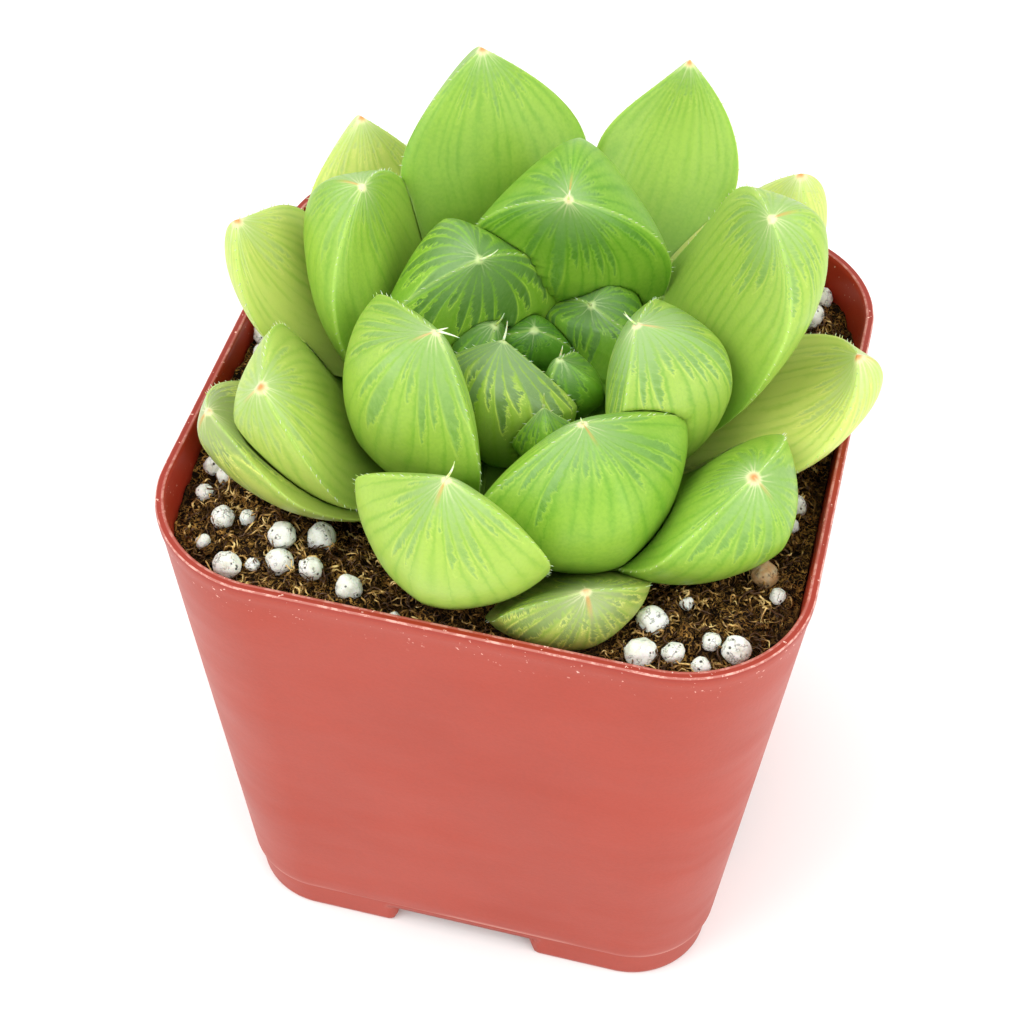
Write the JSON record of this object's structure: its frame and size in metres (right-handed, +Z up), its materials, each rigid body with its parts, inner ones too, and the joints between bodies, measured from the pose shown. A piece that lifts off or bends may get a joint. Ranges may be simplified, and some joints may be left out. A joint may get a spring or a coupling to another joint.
{
  "type": "potted haworthia",
  "caption": "Haworthia rosette of plump, pointed window leaves in brown potting mix with white perlite, in a small square terracotta-red plastic pot.",
  "frame": {"origin": "on the ground, under the middle of the whole plant's bounding box; the pot's own upright axis stands at x -0.9 mm, y -2.7 mm", "axes": "+Z up, -Y towards the front of the pot, +X to the right seen from the front"},
  "size_m": [0.0662, 0.0699, 0.0847],
  "materials": {
    "pot": "satin",
    "leaf": "satin",
    "inner_leaf": "satin",
    "crown": "matte",
    "soil": "matte"
  },
  "bodies": {
    "root": {"pot": "pot", "crown": "crown", "leaf_01": "inner_leaf", "leaf_02": "inner_leaf", "leaf_03": "inner_leaf", "leaf_04": "inner_leaf", "leaf_05": "inner_leaf", "leaf_06": "inner_leaf", "leaf_07": "inner_leaf", "leaf_08": "leaf", "leaf_09": "leaf", "leaf_10": "leaf", "leaf_11": "leaf", "leaf_12": "leaf", "leaf_13": "leaf", "leaf_14": "leaf", "leaf_15": "leaf", "leaf_16": "leaf", "leaf_17": "leaf", "leaf_18": "leaf", "leaf_19": "leaf", "leaf_20": "leaf", "leaf_21": "leaf", "leaf_22": "leaf", "leaf_23": "leaf", "leaf_24": "leaf", "soil": "soil"}
  },
  "joints": []
}
